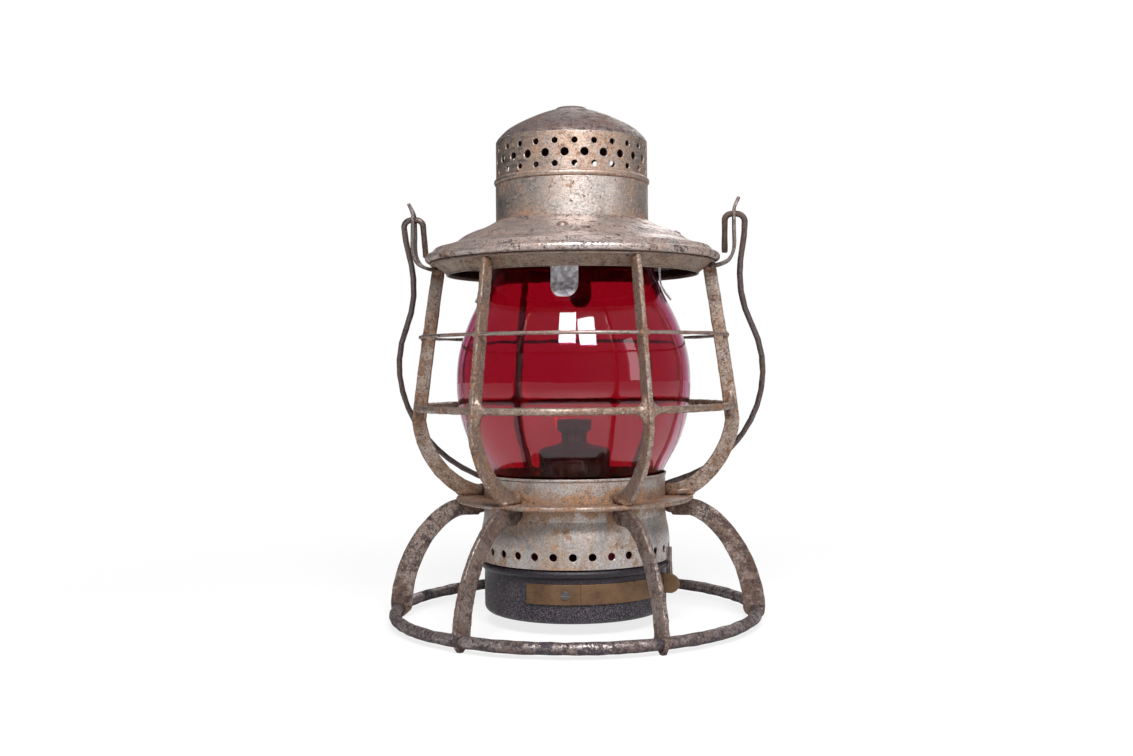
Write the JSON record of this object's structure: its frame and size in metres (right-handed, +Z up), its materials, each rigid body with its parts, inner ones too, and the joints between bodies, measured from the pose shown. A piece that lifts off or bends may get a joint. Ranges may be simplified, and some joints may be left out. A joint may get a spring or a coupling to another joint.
{
  "type": "railroad lantern",
  "caption": "Hand lantern: bowed flat-bar cage and legs on a ring base, red barrel globe, perforated domed chimney on a hinged brim lid, bottom fount with burner, and a swinging wire bail.",
  "frame": {"origin": "on the floor under the lantern's axis", "axes": "+Z up along the lantern's axis, front towards -Y, bail pivots along X, lid hinge at +Y"},
  "size_m": [0.1874, 0.178, 0.2458],
  "materials": {
    "tinned_steel": "worn tinned sheet and bar with rust blotches and dark pits",
    "dome_steel": "tinned sheet gone brown-grey",
    "dark_iron": "dark oxidised wire and strip",
    "galvanised": "galvanised sheet with spangle",
    "red_glass": "deep red pressed glass",
    "black_paint": "speckled near-black enamel on sheet",
    "dull_brass": "dull brown brass strip",
    "burner_brass": "sooty brass",
    "wick_cotton": "woven cotton wick"
  },
  "bodies": {
    "frame": {"base_ring": "tinned_steel", "leg_1": "tinned_steel", "leg_2": "tinned_steel", "leg_3": "tinned_steel", "leg_4": "tinned_steel", "leg_5": "tinned_steel", "leg_6": "tinned_steel", "rib_1": "tinned_steel", "rib_2": "tinned_steel", "rib_3": "tinned_steel", "rib_4": "tinned_steel", "rib_5": "tinned_steel", "rib_6": "tinned_steel", "flange_plate": "tinned_steel", "collar": "tinned_steel", "catch_lug": "tinned_steel", "globe_seat_ring": "tinned_steel", "upper_guard_wire": "tinned_steel", "lower_guard_wire": "tinned_steel", "top_band": "tinned_steel", "bail_ear_left": "dark_iron", "bail_ear_right": "dark_iron", "hinge_leaf_frame": "tinned_steel", "hinge_pin": "dark_iron", "globe": "red_glass"},
    "lid": {"lid_brim": "tinned_steel", "lid_skirt": "tinned_steel", "chimney_neck": "tinned_steel", "vent_hood": "dome_steel", "dome_cap": "dome_steel", "draft_cone": "dark_iron", "globe_tabs": "galvanised", "brim_rivets": "tinned_steel", "hinge_leaf_lid": "tinned_steel"},
    "bail": {"bail": "dark_iron"},
    "fount": {"fount_shell": "black_paint", "fount_top_plate": "black_paint", "burner_collar": "burner_brass", "burner_body": "burner_brass", "burner_cone": "burner_brass", "wick_tube": "burner_brass", "latch_anchor": "dull_brass", "latch_screw": "dark_iron"},
    "latch": {"latch_strip": "dull_brass"},
    "wick": {"wick": "wick_cotton"},
    "wick_drive": {"wick_shaft": "burner_brass", "wick_knob": "burner_brass"}
  },
  "joints": [
    {"name": "lid_hinge", "type": "hinge", "parent": "frame", "child": "lid", "pos_m": [0, 0.075, 0.1717], "axis": [-1, 0, 0], "range_deg": [0, 110]},
    {"name": "bail_pivot", "type": "hinge", "parent": "frame", "child": "bail", "pos_m": [0, 0, 0.1933], "axis": [1, 0, 0], "range_deg": [0, 314.6]},
    {"name": "fount_drop", "type": "slide", "parent": "frame", "child": "fount", "axis": [0, 0, -1], "range_m": [0, 0.085]},
    {"name": "latch_pull", "type": "hinge", "parent": "fount", "child": "latch", "pos_m": [0.00612, -0.04357, 0.0193], "axis": [0, 0, -1], "range_deg": [0, 5], "stiffness_Nm_per_rad": 2},
    {"name": "wick_turn", "type": "hinge", "parent": "fount", "child": "wick_drive", "pos_m": [0, -0.0042, 0.0532], "axis": [1, 0, 0], "range_deg": [-70, 110]},
    {"name": "wick_raise", "type": "slide", "parent": "fount", "child": "wick", "axis": [0, 0, 1], "range_m": [-0.0037, 0.0059]}
  ],
  "couplings": [
    {"joint": "wick_turn", "follows": "wick_raise", "rad_per_m": 322.58}
  ]
}
